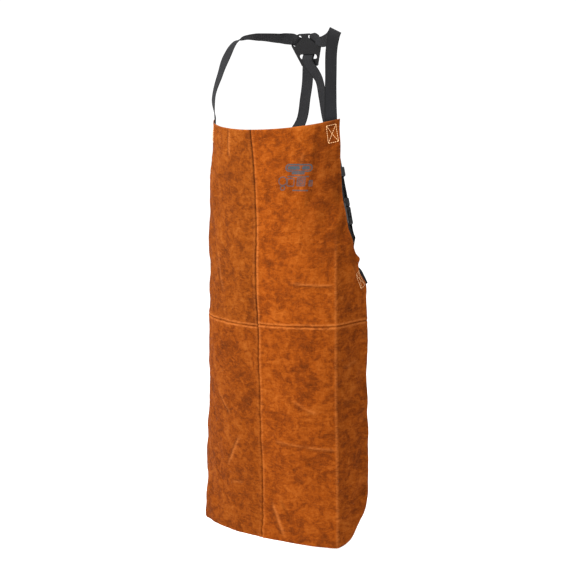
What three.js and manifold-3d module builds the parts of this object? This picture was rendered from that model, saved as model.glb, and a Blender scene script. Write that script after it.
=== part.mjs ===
// Leather welding apron with a cross-back harness. Millimetres, +Z up.
// X points to the wearer's left, -Y is the wearer's front. The origin is midway between the two
// places where the straps rest on the shoulders.
//
// The leather hangs as one bent sheet. A point of it is named by s, the distance along the sheet
// from the centre seam (positive to the wearer's left), and h, the distance down from the bib top.
import * as THREE from "three";
import { mergeVertices } from "three/addons/utils/BufferGeometryUtils.js";
import Module from "manifold-3d";

const wasm = await Module();
wasm.setup();

// ---- driving dimensions ----
const APRON_LENGTH = 1000; // bib top to hem
const SKIRT_HALF = 300; // half of the skirt's width, laid flat
const BIB_HALF = 210; // half of the bib's width, laid flat
const BIB_TOP_Z = -232; // the bib top hangs this far below the shoulders
const ARMHOLE_TOP = 19; // h where the armhole starts to widen the bib
const ARMHOLE_END = 376; // h where it reaches the skirt's full width
const ARMHOLE_POWER = 3.1;
const HEM_CORNER = { width: 88, height: 130, power: 1.6 };
const WAIST_LEFT = 461; // h of the waist seam on the wearer's left
const WAIST_RIGHT = 466;
const LEATHER = 3; // solid thickness of the sheet
const SEAM_GAP = 0.6; // between two panels at a seam
const GAP = 0.4; // between pieces that touch

const WEB = 30; // webbing width
const WEB_T = 2; // webbing thickness
const BIB_STRAP_S = 190; // where the strap is sewn behind the bib
const BIB_STRAP_SEWN = 44;

const PLATE_T = 2.6;
const STRAP_LAYER = 2.8; // from the middle of one strap to the other's where they cross
const PLATE_CENTRE = new THREE.Vector3(0, 90, -32);
const PLATE_LEAN = THREE.MathUtils.degToRad(20);
const UPPER_SLOT = { a: 24, b: 18.3, length: 36, height: 8, slope: THREE.MathUtils.degToRad(-41) };
const LOWER_SLOT = { a: 0, b: -22, length: 50, height: 12 };

// The buckle on the wearer's left hip: the middle of its lower bar, and the strap's line above it.
const BUCKLE_AT = new THREE.Vector3(129.5, 83, -463);
const STRAP_LINE = new THREE.Vector3(-54, 29, 176).normalize();
const STRAP_OUT = new THREE.Vector3(0.62, 0.78, 0);
const BUCKLE_HALF_W = 20;
const BUCKLE_T = 11;
const BAR_R = 1.9; // the bars that webbing wraps round
const WRAP_R = BAR_R + WEB_T / 2 + 0.35; // middle of the webbing round a bar
const MID_Y = -WRAP_R; // the plastic's middle plane, under the strap's line
const FEMALE_END = -4;
const MOUTH = 41; // the female half's mouth, above its bar
const MALE_FRONT = MOUTH + 0.6;
const MALE_END = 64;
const MALE_BAR = 59;
const ARM_PIVOT = { x: 11, z: 47.5 };
const SLIDER_Z = 131;
const SLIDER_BAR_Y = -6.4;
const LINE_TOP = 185; // the strap runs straight up to here

// ---- small helpers ----
const smooth = (a, b, x) => THREE.MathUtils.smoothstep(x, a, b);
const { lerp, degToRad } = THREE.MathUtils;
const vec = (x, y, z) => new THREE.Vector3(x, y, z);
const mirrored = (v) => vec(-v.x, v.y, v.z);

function closedGeometry(points, triangles) {
  let volume = 0;
  for (let i = 0; i < triangles.length; i += 3) {
    const [a, b, c] = [points[triangles[i]], points[triangles[i + 1]], points[triangles[i + 2]]];
    volume += a.dot(b.clone().cross(c)) / 6;
  }
  const index = volume < 0 ? [...triangles].reverse() : triangles;
  const geometry = new THREE.BufferGeometry().setFromPoints(points);
  geometry.setIndex(index);
  geometry.computeVertexNormals();
  return geometry;
}

function toSolid(geometry) {
  const bare = geometry.clone();
  bare.deleteAttribute("normal");
  bare.deleteAttribute("uv");
  const merged = mergeVertices(bare, 1e-3);
  return new wasm.Manifold(
    new wasm.Mesh({
      numProp: 3,
      vertProperties: new Float32Array(merged.attributes.position.array),
      triVerts: new Uint32Array(merged.index.array),
    }),
  );
}

function toGeometry(solid) {
  const mesh = solid.getMesh();
  const geometry = new THREE.BufferGeometry();
  geometry.setAttribute("position", new THREE.BufferAttribute(new Float32Array(mesh.vertProperties), 3));
  geometry.setIndex(new THREE.BufferAttribute(new Uint32Array(mesh.triVerts), 1));
  geometry.computeVertexNormals();
  return geometry;
}

// A box from its limits on each axis.
function box([x0, x1], [y0, y1], [z0, z1]) {
  const geometry = new THREE.BoxGeometry(x1 - x0, y1 - y0, z1 - z0);
  geometry.translate((x0 + x1) / 2, (y0 + y1) / 2, (z0 + z1) / 2);
  return toSolid(geometry);
}

// A shape drawn in X and Z, extruded along Y between y0 and y1.
function slab(shape, y0, y1, bevel = 0) {
  const geometry = new THREE.ExtrudeGeometry(shape, {
    depth: y1 - y0 - 2 * bevel,
    curveSegments: 5,
    bevelEnabled: bevel > 0,
    bevelThickness: bevel,
    bevelSize: bevel,
    bevelOffset: -bevel,
    bevelSegments: 1,
  });
  geometry.rotateX(Math.PI / 2);
  geometry.translate(0, y1 - bevel, 0);
  return toSolid(geometry);
}

function bar(radius, halfLength, y, z) {
  const geometry = new THREE.CylinderGeometry(radius, radius, 2 * halfLength, 12);
  geometry.rotateZ(Math.PI / 2);
  geometry.translate(0, y, z);
  return toSolid(geometry);
}

function roundedRect(x0, x1, z0, z1, r) {
  const shape = new THREE.Shape();
  shape.moveTo(x0 + r, z0);
  shape.lineTo(x1 - r, z0);
  shape.absarc(x1 - r, z0 + r, r, -Math.PI / 2, 0);
  shape.lineTo(x1, z1 - r);
  shape.absarc(x1 - r, z1 - r, r, 0, Math.PI / 2);
  shape.lineTo(x0 + r, z1);
  shape.absarc(x0 + r, z1 - r, r, Math.PI / 2, Math.PI);
  shape.lineTo(x0, z0 + r);
  shape.absarc(x0 + r, z0 + r, r, Math.PI, 1.5 * Math.PI);
  return shape;
}

// ---- the leather's hanging shape ----
// Angle of the sheet in plan at (s, h): 0 faces the front, 90 degrees faces sideways.
function sheetAngle(s, h) {
  const corner = s < 0 ? 0.28 * smooth(150, 210, -s) * (1 - smooth(0, 130, h)) : 0;
  const onBib = s / (s < 0 ? lerp(245, 253, smooth(20, 140, h)) : 245) - corner;
  const down = smooth(WAIST_LEFT, APRON_LENGTH, h);
  const across = Math.abs(s);
  let onSkirt;
  if (s < 0) {
    const nearHem = smooth(850, 960, h);
    onSkirt = -degToRad(lerp(67.5, 50, down)) * (across / 262) ** 1.5;
    onSkirt += nearHem * degToRad(6 * (across / 212) ** 1.5 - 75 * smooth(205, 285, across));
  } else {
    const front = lerp(38.3, 26.4, down);
    const side = lerp(73, 74, down);
    onSkirt = degToRad(front * (Math.min(s, 198) / 198) ** 1.3 + (side - front) * smooth(192, 204, s));
  }
  const pull = Math.exp(-(((h - 342) / 46) ** 2)) * smooth(236, 298, across) * degToRad(36);
  return lerp(onBib, onSkirt, smooth(60, 430, h)) + Math.sign(s) * pull;
}

function centreY(h) {
  if (h < 474) return lerp(-150.5, -129.6, smooth(-150, 474, h));
  return lerp(-129.6, -109.4, smooth(474, APRON_LENGTH, h));
}

// The corners of the bib are pulled up by the straps.
function cornerLift(s, h) {
  return 25 * Math.min(Math.abs(s) / BIB_HALF, 1.3) ** 2 * (1 - smooth(0, 626, h));
}

const STEP = 2;
// Point of the sheet at (s, h), moved inwards by depth.
function sheetPoint(s, h, depth = 0) {
  const sign = Math.sign(s) || 1;
  const count = Math.ceil(Math.abs(s) / STEP);
  const ds = count ? s / count : 0;
  let x = 0;
  let y = centreY(h);
  for (let i = 0; i < count; i++) {
    const angle = sheetAngle((i + 0.5) * ds || sign * 1e-6, h);
    x += Math.cos(angle) * ds;
    y += Math.sin(angle) * ds;
  }
  const angle = sheetAngle(s || sign * 1e-6, h);
  x -= depth * Math.sin(angle);
  y += depth * Math.cos(angle);
  return vec(x, y, BIB_TOP_Z - h + cornerLift(s, h));
}

function sheetNormal(s, h) {
  const angle = sheetAngle(s || 1e-6, h);
  return vec(Math.sin(angle), -Math.cos(angle), 0);
}

// Half-width of the cut sheet at h: the armhole curve, the straight side and the round hem corner.
function halfWidth(h) {
  const widening = THREE.MathUtils.clamp((h - ARMHOLE_TOP) / (ARMHOLE_END - ARMHOLE_TOP), 0, 1);
  const { width, height, power } = HEM_CORNER;
  const corner = Math.max(0, h - (APRON_LENGTH - height)) / height;
  const side = SKIRT_HALF - width * (1 - (1 - corner ** power) ** (1 / power));
  return h < ARMHOLE_END ? BIB_HALF + (SKIRT_HALF - BIB_HALF) * widening ** ARMHOLE_POWER : side;
}

// A closed solid between two grids of points with the same rows and columns.
function gridSolid(outer, inner) {
  const rows = outer.length;
  const cols = outer[0].length;
  const points = [...outer.flat(), ...inner.flat()];
  const at = (r, c, side) => side * rows * cols + r * cols + c;
  const triangles = [];
  const quad = (a, b, c, d) => triangles.push(a, b, c, a, c, d);
  for (let r = 0; r + 1 < rows; r++) {
    for (let c = 0; c + 1 < cols; c++) {
      quad(at(r, c, 0), at(r, c + 1, 0), at(r + 1, c + 1, 0), at(r + 1, c, 0));
      quad(at(r, c, 1), at(r + 1, c, 1), at(r + 1, c + 1, 1), at(r, c + 1, 1));
    }
    quad(at(r, 0, 0), at(r + 1, 0, 0), at(r + 1, 0, 1), at(r, 0, 1));
    quad(at(r, cols - 1, 0), at(r, cols - 1, 1), at(r + 1, cols - 1, 1), at(r + 1, cols - 1, 0));
  }
  for (let c = 0; c + 1 < cols; c++) {
    quad(at(0, c, 0), at(0, c, 1), at(0, c + 1, 1), at(0, c + 1, 0));
    quad(at(rows - 1, c, 0), at(rows - 1, c + 1, 0), at(rows - 1, c + 1, 1), at(rows - 1, c, 1));
  }
  return closedGeometry(points, triangles);
}

// Distances from the centre seam where a row of the sheet's solid has its points: close together
// at the fold, then evenly spread to the edge.
function columns(h) {
  const edge = halfWidth(h);
  const past = [1, 2, 3, 4, 5, 6, 7].map((k) => lerp(204, edge, k / 7));
  return [SEAM_GAP / 2, 40, 80, 120, 155, 180, 192, 198, 204, ...past];
}

// One leather panel, between two heights on one side of the centre seam.
function leatherPanel(side, top, bottom) {
  const rows = Math.round((bottom - top) / 26);
  const heights = Array.from({ length: rows + 1 }, (_, r) => lerp(top, bottom, r / rows));
  const grid = (depth) => heights.map((h) => columns(h).map((s) => sheetPoint(side * s, h, depth)));
  return gridSolid(grid(0), grid(LEATHER));
}

// ---- webbing ----
// A ribbon through frames {at, out, along}: at is its middle, out its outward face.
function ribbon(frames, width = WEB, thickness = WEB_T) {
  const corners = frames.map(({ at, out, along }) => {
    const across = out.clone().cross(along).normalize().multiplyScalar(width / 2);
    const up = along.clone().cross(across).normalize().multiplyScalar(thickness / 2);
    return [at.clone().add(across).add(up), at.clone().sub(across).add(up),
      at.clone().sub(across).sub(up), at.clone().add(across).sub(up)];
  });
  const points = corners.flat();
  const triangles = [];
  for (let i = 0; i + 1 < frames.length; i++) {
    for (let k = 0; k < 4; k++) {
      const [a, b] = [4 * i + k, 4 * i + ((k + 1) % 4)];
      triangles.push(a, b, b + 4, a, b + 4, a + 4);
    }
  }
  const last = 4 * (frames.length - 1);
  triangles.push(0, 3, 2, 0, 2, 1, last, last + 1, last + 2, last, last + 2, last + 3);
  return closedGeometry(points, triangles);
}

// Frames along a smooth curve through [point, outward] pairs, at most spacing mm apart.
function curveFrames(pairs, spacing) {
  const curve = new THREE.CatmullRomCurve3(pairs.map(([p]) => p), false, "centripetal");
  const last = pairs.length - 1;
  const frames = [];
  for (let k = 0; k < last; k++) {
    const count = Math.ceil(pairs[k][0].distanceTo(pairs[k + 1][0]) / spacing);
    for (let j = 0; j < count + (k + 1 === last ? 1 : 0); j++) {
      const t = (k + j / count) / last;
      const out = pairs[k][1].clone().lerp(pairs[k + 1][1], smooth(0, 1, j / count));
      frames.push({ at: curve.getPoint(t), out, along: curve.getTangent(t) });
    }
  }
  return frames;
}

// Frames round a bar, in a hardware group's own axes, from the outer face to the inner face.
function wrapFrames(barY, barZ, fromDegrees, toDegrees, count = 8) {
  return Array.from({ length: count + 1 }, (_, i) => {
    const angle = degToRad(lerp(fromDegrees, toDegrees, i / count));
    const out = vec(0, Math.cos(angle), Math.sin(angle));
    const turn = Math.sign(toDegrees - fromDegrees);
    const along = vec(0, -Math.sin(angle), Math.cos(angle)).multiplyScalar(turn);
    return { at: vec(0, barY, barZ).addScaledVector(out, WRAP_R), out, along };
  });
}

// Straight frames between points in a hardware group's own axes, each [y, z].
function legFrames(points, flip) {
  return points.map(([y, z], i) => {
    const a = points[Math.max(0, i - 1)];
    const b = points[Math.min(points.length - 1, i + 1)];
    const along = vec(0, b[0] - a[0], b[1] - a[1]).normalize();
    const out = vec(0, along.z, -along.y).multiplyScalar(flip);
    return { at: vec(0, y, z), out, along };
  });
}

// ---- the hip hardware's axes: X across, Y out, Z up along the strap ----
function hipBasis(side) {
  const along = side > 0 ? STRAP_LINE.clone() : mirrored(STRAP_LINE);
  const rough = side > 0 ? STRAP_OUT : mirrored(STRAP_OUT);
  const out = rough.clone().addScaledVector(along, -rough.dot(along)).normalize();
  const across = out.clone().cross(along);
  const at = side > 0 ? BUCKLE_AT.clone() : mirrored(BUCKLE_AT);
  return new THREE.Matrix4().makeBasis(across, out, along).setPosition(at);
}

function moved(frames, matrix) {
  return frames.map(({ at, out, along }) => ({
    at: at.clone().applyMatrix4(matrix),
    out: out.clone().transformDirection(matrix),
    along: along.clone().transformDirection(matrix),
  }));
}

// ---- the harness ----
const PLATE_UP = vec(0, -Math.sin(PLATE_LEAN), Math.cos(PLATE_LEAN));
const PLATE_REAR = vec(0, Math.cos(PLATE_LEAN), Math.sin(PLATE_LEAN));
// A point at (a, b) on the plate, moved to the rear by m.
function onPlate(a, b, m) {
  const p = PLATE_CENTRE.clone().addScaledVector(PLATE_UP, b).addScaledVector(PLATE_REAR, m);
  return p.add(vec(a, 0, 0));
}

// The strap's way across the plate as [point, outward] pairs: over the wing on the inner side,
// through the upper slot, down behind the plate and through the lower slot to the inner side.
// layer is how far behind the other strap this one lies.
function plateCrossing(side, layer) {
  const face = PLATE_T / 2 + 2 * GAP + WEB_T / 2;
  const rear = face + layer;
  const innerAbove = -face;
  const innerBelow = -face - STRAP_LAYER + layer;
  const upper = { mid: UPPER_SLOT.b - 0.7 - layer * 0.3, reach: 3.6 + layer * 0.35 };
  const lower = { mid: LOWER_SLOT.b + 0.5 - layer * 0.42, reach: 5.5 };
  const inPlane = new THREE.CatmullRomCurve3(
    [[29.5, 23.1], [24.75, 17.6], [16.9, 8.5], [9, 0], [3.2, -6], [1.2, -12], [1, -17], [1, -22], [1, -27], [1, -32],
      [-1, -38], [-5, -46]].map(([a, b]) => vec(side * a, b, 0)),
  );
  return inPlane.getSpacedPoints(32).map(({ x, y }) => {
    const through = y > 0
      ? lerp(rear, innerAbove, smooth(upper.mid - upper.reach, upper.mid + upper.reach, y))
      : lerp(innerBelow, rear, smooth(lower.mid - lower.reach, lower.mid + lower.reach, y));
    return [onPlate(x, y, through), PLATE_REAR];
  });
}

// Each strap's way over its own shoulder, then below the plate: [middle, outward direction].
const OVER_SHOULDER = {
  left: [
    [vec(167, -74, -168), vec(0.78, -0.62, 0)],
    [vec(161, -63, -115), vec(0.85, -0.52, 0.05)],
    [vec(150, -43, -53), vec(0.82, -0.45, 0.35)],
    [vec(143, -20, -13), vec(0.6, -0.2, 0.8)],
    [vec(132, 6, -1), vec(0.44, 0.1, 0.9)],
    [vec(104, 36, -12), vec(0.36, 0.4, 0.85)],
    [vec(66, 60, -21), vec(0.24, 0.62, 0.6)],
    [vec(50, 71, -19), vec(0.1, 0.85, 0.4)],
  ],
  right: [
    [vec(-172, -66, -155), vec(-0.6, -0.8, 0)],
    [vec(-167, -45, -98), vec(-0.42, -0.9, 0.1)],
    [vec(-160, -26, -53), vec(-0.2, -0.85, 0.4)],
    [vec(-151, -3, -18), vec(-0.2, -0.5, 0.8)],
    [vec(-135, 14, -7), vec(-0.3, 0.1, 0.95)],
    [vec(-103, 35, -5), vec(-0.36, 0.4, 0.85)],
    [vec(-64, 60, -8), vec(-0.24, 0.62, 0.6)],
    [vec(-48, 70, -9), vec(-0.1, 0.85, 0.4)],
  ],
};
const DOWN_BACK = {
  left: [
    [vec(-13, 114, -112), vec(-0.1, 1, 0.15)],
    [vec(-21, 117, -152), vec(-0.05, 1, 0)],
    [vec(-34, 120, -208), vec(-0.05, 1, 0)],
  ],
  right: [
    [vec(26, 104, -107), vec(0.31, 0.95, 0.1)],
    [vec(33, 111, -150), vec(0.31, 0.95, 0)],
    [vec(42, 118, -210), vec(0.31, 0.95, 0)],
  ],
};

// One long strap: sewn behind the bib, over its own shoulder, down through the plate, behind the
// back and round the male buckle's bar on the opposite hip.
function shoulderStrap(side, name, layer) {
  const s = side * BIB_STRAP_S;
  const depth = LEATHER + GAP + WEB_T / 2 + (side > 0 ? 0.8 : 2.2);
  const sewn = (h) => [sheetPoint(s, h, depth), sheetNormal(s, h)];
  const opposite = hipBasis(-side);
  const hipOut = new THREE.Vector3().setFromMatrixColumn(opposite, 1);
  const onLine = (z) => [vec(0, 0, z).applyMatrix4(opposite), hipOut];
  const pairs = [
    sewn(BIB_STRAP_SEWN),
    sewn(BIB_STRAP_SEWN / 2),
    sewn(0),
    sewn(-10),
    ...OVER_SHOULDER[name],
    ...plateCrossing(side, layer),
    ...DOWN_BACK[name],
    onLine(LINE_TOP),
    onLine(140),
    onLine(MALE_BAR + 4),
    onLine(MALE_BAR + 1),
  ];
  const run = curveFrames(pairs, 11);
  const back = { at: vec(0, 2 * MID_Y, MALE_BAR + 6), out: vec(0, -1, 0), along: vec(0, 0, 1) };
  return ribbon([...run, ...moved([...wrapFrames(MID_Y, MALE_BAR, 0, -180), back], opposite)]);
}

function crossPlate() {
  const shape = new THREE.Shape();
  const [top, wing, foot] = [36, 43, 24];
  shape.moveTo(-foot + 4, -46);
  shape.lineTo(foot - 4, -46);
  shape.quadraticCurveTo(foot + 1, -46, foot + 1.5, -40);
  shape.lineTo(wing, 5);
  shape.quadraticCurveTo(wing + 1, 10, wing - 3, 14);
  shape.lineTo(20, 34);
  shape.quadraticCurveTo(17, top, 12, top);
  shape.lineTo(-12, top);
  shape.quadraticCurveTo(-17, top, -20, 34);
  shape.lineTo(-wing + 3, 14);
  shape.quadraticCurveTo(-wing - 1, 10, -wing, 5);
  shape.lineTo(-foot - 1.5, -40);
  shape.quadraticCurveTo(-foot - 1, -46, -foot + 4, -46);
  for (const side of [-1, 1]) shape.holes.push(slotPath({ ...UPPER_SLOT, side }));
  shape.holes.push(slotPath({ ...LOWER_SLOT, side: 1, slope: 0 }));
  const geometry = toGeometry(slab(shape, -PLATE_T / 2, PLATE_T / 2, 0.5));
  return geometry;
}

function slotPath({ side, a, b, length, height, slope }) {
  const r = height / 2;
  const reach = length / 2 - r;
  const turn = side * slope;
  const centre = (k) => [side * a + k * reach * Math.cos(turn), b + k * reach * Math.sin(turn)];
  const path = new THREE.Path();
  const [right, left] = [centre(1), centre(-1)];
  path.absarc(right[0], right[1], r, turn + Math.PI / 2, turn - Math.PI / 2, true);
  path.absarc(left[0], left[1], r, turn - Math.PI / 2, turn - 1.5 * Math.PI, true);
  path.closePath();
  return path;
}

// ---- hip strap: sewn inside the skirt's upper corner, looped round the female buckle's bar ----
const HIP_SEAT = { s: 291.5, h: 363, slope: degToRad(16), length: 44 };
const HIP_BOX = { s: 278.5, h: 368.5, slope: degToRad(24) };
// A point of a place on the sheet at the hip: v up, u outwards across it.
function hipPoint({ s, h, slope }, u, v) {
  const up = [-Math.sin(slope), -Math.cos(slope)];
  const out = [Math.cos(slope), -Math.sin(slope)];
  return [s + up[0] * v + out[0] * u, h + up[1] * v + out[1] * u];
}

function hipStrap(side) {
  const basis = hipBasis(side);
  const hipOut = new THREE.Vector3().setFromMatrixColumn(basis, 1);
  const depth = LEATHER + GAP + WEB_T / 2 + 3.7;
  // The free lower end stands out past the leather: the webbing is tilted about its own length.
  const seat = (v, extra, tilt) => {
    const [s, h] = hipPoint(HIP_SEAT, 0, v);
    const normal = sheetNormal(side * s, h);
    const outwards = vec(-normal.y, normal.x, 0).multiplyScalar(side);
    const out = normal.clone().multiplyScalar(Math.cos(tilt)).addScaledVector(outwards, -Math.sin(tilt));
    return [sheetPoint(side * s, h, depth + extra), out];
  };
  const pairs = [
    seat(-HIP_SEAT.length / 2, 0, degToRad(50)),
    seat(0, 0.5, degToRad(36)),
    seat(HIP_SEAT.length / 2, 10, degToRad(12)),
    [vec(0, 3, -42).applyMatrix4(basis), hipOut],
    [vec(0, 0, -20).applyMatrix4(basis), hipOut],
    [vec(0, 0, -4).applyMatrix4(basis), hipOut],
    [vec(0, 0, -1).applyMatrix4(basis), hipOut],
  ];
  const run = curveFrames(pairs, 9);
  const back = legFrames([[2 * MID_Y, -2], [MID_Y * 1.3, -12], [-WEB_T - GAP, -22], [-WEB_T - GAP, -36]], -1);
  const wrap = [...wrapFrames(MID_Y, 0, 0, 180), ...back];
  return ribbon([...run, ...moved(wrap, basis)]);
}

// ---- buckle ----
const INNER = WEB / 2 + 0.8; // half-width left for webbing

function webbingOpening(z0, z1) {
  return box([-INNER, INNER], [-20, 20], [z0, z1]);
}

function femaleBuckle() {
  const [low, high] = [MID_Y - BUCKLE_T / 2, MID_Y + BUCKLE_T / 2];
  const outline = roundedRect(-BUCKLE_HALF_W, BUCKLE_HALF_W, FEMALE_END, MOUTH, 4.5);
  const cavity = box([-16.6, 16.6], [MID_Y - 3.4, MID_Y + 3.4], [9, MOUTH + 1]);
  const windows = [-1, 1].map((side) => {
    const [a, b] = [side * 13.5, side * (BUCKLE_HALF_W + 1)];
    return box([Math.min(a, b), Math.max(a, b)], [MID_Y - 3.4, MID_Y + 3.4], [13, 31]);
  });
  return toGeometry(
    slab(outline, low, high, 1.2)
      .subtract(cavity)
      .subtract(windows[0])
      .subtract(windows[1])
      .subtract(webbingOpening(FEMALE_END - 1, 6.5))
      .add(bar(BAR_R, INNER + 1.5, MID_Y, 0)),
  );
}

function maleBuckle() {
  const [low, high] = [MID_Y - BUCKLE_T / 2, MID_Y + BUCKLE_T / 2];
  const outline = roundedRect(-BUCKLE_HALF_W, BUCKLE_HALF_W, MALE_FRONT, MALE_END, 4.5);
  let body = slab(outline, low, high, 1.2).subtract(webbingOpening(52.5, MALE_END + 1));
  for (const side of [-1, 1]) {
    const root = new THREE.Shape();
    root.absarc(side * ARM_PIVOT.x, ARM_PIVOT.z, 3, 0, Math.PI);
    root.lineTo(side * ARM_PIVOT.x - 3 - (side < 0 ? 2 : 0.6), MALE_FRONT - 1);
    root.lineTo(side * ARM_PIVOT.x + 3 + (side > 0 ? 2 : 0.6), MALE_FRONT - 1);
    root.closePath();
    body = body.subtract(slab(root, MID_Y - 3, MID_Y + 3));
  }
  const tongue = roundedRect(-3.4, 3.4, 17, MALE_FRONT + 2, 1.5);
  return toGeometry(
    body.add(slab(tongue, MID_Y - 1.6, MID_Y + 1.6)).add(bar(BAR_R, INNER + 1.5, MID_Y, MALE_BAR)),
  );
}

// One squeeze arm, drawn about its own pivot. side says which edge of the buckle it serves.
function buckleArm(side) {
  const shape = new THREE.Shape();
  const x = (v) => side * (v - ARM_PIVOT.x);
  const z = (v) => v - ARM_PIVOT.z;
  shape.moveTo(x(8.4), z(46.5));
  shape.lineTo(x(12), z(18));
  shape.quadraticCurveTo(x(12.4), z(13.8), x(15.5), z(13.8));
  shape.quadraticCurveTo(x(21.3), z(18), x(20.8), z(29.8));
  shape.lineTo(x(16), z(29.8));
  shape.lineTo(x(14.6), z(40));
  shape.lineTo(x(13.6), z(46.5));
  shape.quadraticCurveTo(x(13.2), z(50.1), x(11), z(50.1));
  shape.quadraticCurveTo(x(8.8), z(50.1), x(8.4), z(46.5));
  return toGeometry(slab(shape, -2.7, 2.7, 0.5));
}

// ---- slider: side rails, two bars over the strap, one bar under it for the doubled end ----
function strapSlider() {
  const rails = slab(roundedRect(-19, 19, -12, 12, 3.5), -8.4, 4.4, 0.8);
  const window = box([-INNER, INNER], [-20, 1.5], [-20, 20]);
  const over = box([-INNER, INNER], [1.4, 20], [-8.2, 8.2]);
  const sides = rails.subtract(window).subtract(over);
  return toGeometry(sides.add(bar(BAR_R, INNER + 1.2, SLIDER_BAR_Y, 0)));
}

// The strap's end, doubled back from the male bar to the slider and sewn round its lower bar.
function doubledEnd() {
  const y0 = SLIDER_BAR_Y - WRAP_R;
  const up = legFrames([[2 * MID_Y, MALE_BAR + 6.5], [-6.4, 88], [-6.6, 106], [-8.6, 121], [y0, 129]], -1);
  const over = wrapFrames(SLIDER_BAR_Y, SLIDER_Z, 180, 0);
  const down = legFrames([[SLIDER_BAR_Y + WRAP_R, 129], [-3.5, 116], [-3.6, 98]], -1);
  return ribbon([...up, ...over, ...down]);
}

// ---- stitching ----
// A sewn box with a cross, drawn flat with u across and v up.
function boxStitch(width, height, line = 1.3) {
  const [w, h] = [width / 2, height / 2];
  const shape = roundedRect(-w, w, -h, h, 0.6);
  const [iw, ih] = [w - line, h - line];
  const k = line * 0.62;
  const kx = (k * Math.hypot(iw, ih)) / ih;
  const kz = (k * Math.hypot(iw, ih)) / iw;
  for (const sign of [-1, 1]) {
    const side = new THREE.Path();
    side.moveTo(sign * iw, -ih + kz);
    side.lineTo(sign * iw, ih - kz);
    side.lineTo(sign * kx, 0);
    side.closePath();
    const end = new THREE.Path();
    end.moveTo(-iw + kx, sign * ih);
    end.lineTo(iw - kx, sign * ih);
    end.lineTo(0, sign * kz);
    end.closePath();
    shape.holes.push(side, end);
  }
  const geometry = new THREE.ExtrudeGeometry(shape, { depth: 0.6, bevelEnabled: false, curveSegments: 2 });
  geometry.deleteAttribute("normal");
  geometry.deleteAttribute("uv");
  return mergeVertices(geometry, 1e-3);
}

// Moves a flat geometry's points (u, v, w) onto the leather's outer face.
function ontoLeather(geometry, toSheet, side, lift) {
  const position = geometry.getAttribute("position");
  const points = [];
  for (let i = 0; i < position.count; i++) {
    const [s, h] = toSheet(position.getX(i), position.getY(i));
    points.push(sheetPoint(side * s, h, -lift - position.getZ(i)));
  }
  return closedGeometry(points, [...geometry.index.array]);
}

function bibStitching(side) {
  const toSheet = (u, v) => [BIB_STRAP_S + 1 + u - 0.08 * v, 28 - v];
  return ontoLeather(boxStitch(26, 39), toSheet, side, 1.2);
}

function hipStitching(side) {
  return ontoLeather(boxStitch(16, 36), (u, v) => hipPoint(HIP_BOX, u, v), side, 1.8);
}

function centreSeam() {
  const pairs = [];
  for (let i = 0; i <= 40; i++) {
    const h = lerp(2, APRON_LENGTH - 2, i / 40);
    pairs.push([sheetPoint(0, h, LEATHER + GAP + 0.4), sheetNormal(0, h)]);
  }
  return ribbon(curveFrames(pairs, 25), 3, 0.6);
}

function waistSeam(side, h) {
  const stops = [3, ...columns(h).slice(1, -1), SKIRT_HALF - 3].map((s) => side * s);
  const frames = stops.map((s) => {
    const angle = sheetAngle(s, h);
    const along = vec(Math.cos(angle), Math.sin(angle), 0).multiplyScalar(side);
    return { at: sheetPoint(s, h, LEATHER + GAP + 0.4), out: sheetNormal(s, h), along };
  });
  return ribbon(frames, 3, 0.6);
}

// A short row of thread across the webbing, in a hardware group's own axes.
function bartack(y, z) {
  return toGeometry(box([-12, 12], [y - 0.3, y + 0.3], [z - 1.2, z + 1.2]));
}

// ---- materials ----
const paint = (color, roughness, metalness = 0) =>
  new THREE.MeshStandardMaterial({ color, roughness, metalness, side: THREE.FrontSide });
const leather = paint(0xa04f14, 0.95);
const thread = paint(0xe1b482, 0.8);
const paleThread = paint(0xe8e6e0, 0.8);
const webbing = paint(0x39393b, 0.85);
const plateMaterial = paint(0x262428, 0.7);
const plastic = paint(0x1d1d1f, 0.45);

// ---- assembly ----
const apron = new THREE.Group();
function add(parent, name, geometry, material) {
  const mesh = new THREE.Mesh(geometry, material);
  mesh.name = name;
  parent.add(mesh);
  return mesh;
}

const SIDES = [
  { side: 1, name: "left", waist: WAIST_LEFT, layer: STRAP_LAYER },
  { side: -1, name: "right", waist: WAIST_RIGHT, layer: 0 },
];

for (const { side, name, waist, layer } of SIDES) {
  add(apron, `upper_${name}_panel`, leatherPanel(side, 0, waist - SEAM_GAP / 2), leather);
  add(apron, `lower_${name}_panel`, leatherPanel(side, waist + SEAM_GAP / 2, APRON_LENGTH), leather);
  add(apron, `${name}_waist_seam`, waistSeam(side, waist), thread);
  add(apron, `${name}_shoulder_strap`, shoulderStrap(side, name, layer), webbing);
  add(apron, `${name}_bib_stitching`, bibStitching(side), thread);
  add(apron, `${name}_hip_strap`, hipStrap(side), webbing);
  add(apron, `${name}_hip_stitching`, hipStitching(side), thread);

  const hip = new THREE.Group();
  hipBasis(side).decompose(hip.position, hip.quaternion, hip.scale);
  apron.add(hip);
  add(hip, `${name}_female_buckle`, femaleBuckle(), plastic);
  add(hip, `${name}_male_buckle`, maleBuckle(), plastic);
  for (const [armName, armSide] of [["outer", 1], ["inner", -1]]) {
    const arm = add(hip, `${name}_${armName}_arm`, buckleArm(armSide * side), plastic);
    arm.position.set(armSide * side * ARM_PIVOT.x, MID_Y, ARM_PIVOT.z);
  }
  const slider = add(hip, `${name}_slider`, strapSlider(), plastic);
  slider.position.z = SLIDER_Z;
  add(hip, `${name}_doubled_end`, doubledEnd(), webbing);
  add(hip, `${name}_loop_bartack`, bartack(WEB_T / 2 + GAP + 0.3, -14), paleThread);
  add(hip, `${name}_end_bartack`, bartack(-6.6 - WEB_T / 2 - GAP - 0.6, 104), paleThread);
}
add(apron, "centre_seam", centreSeam(), thread);

const plate = add(apron, "cross_plate", crossPlate(), plateMaterial);
plate.position.copy(PLATE_CENTRE);
plate.rotation.x = PLATE_LEAN;

export default apron;
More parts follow.
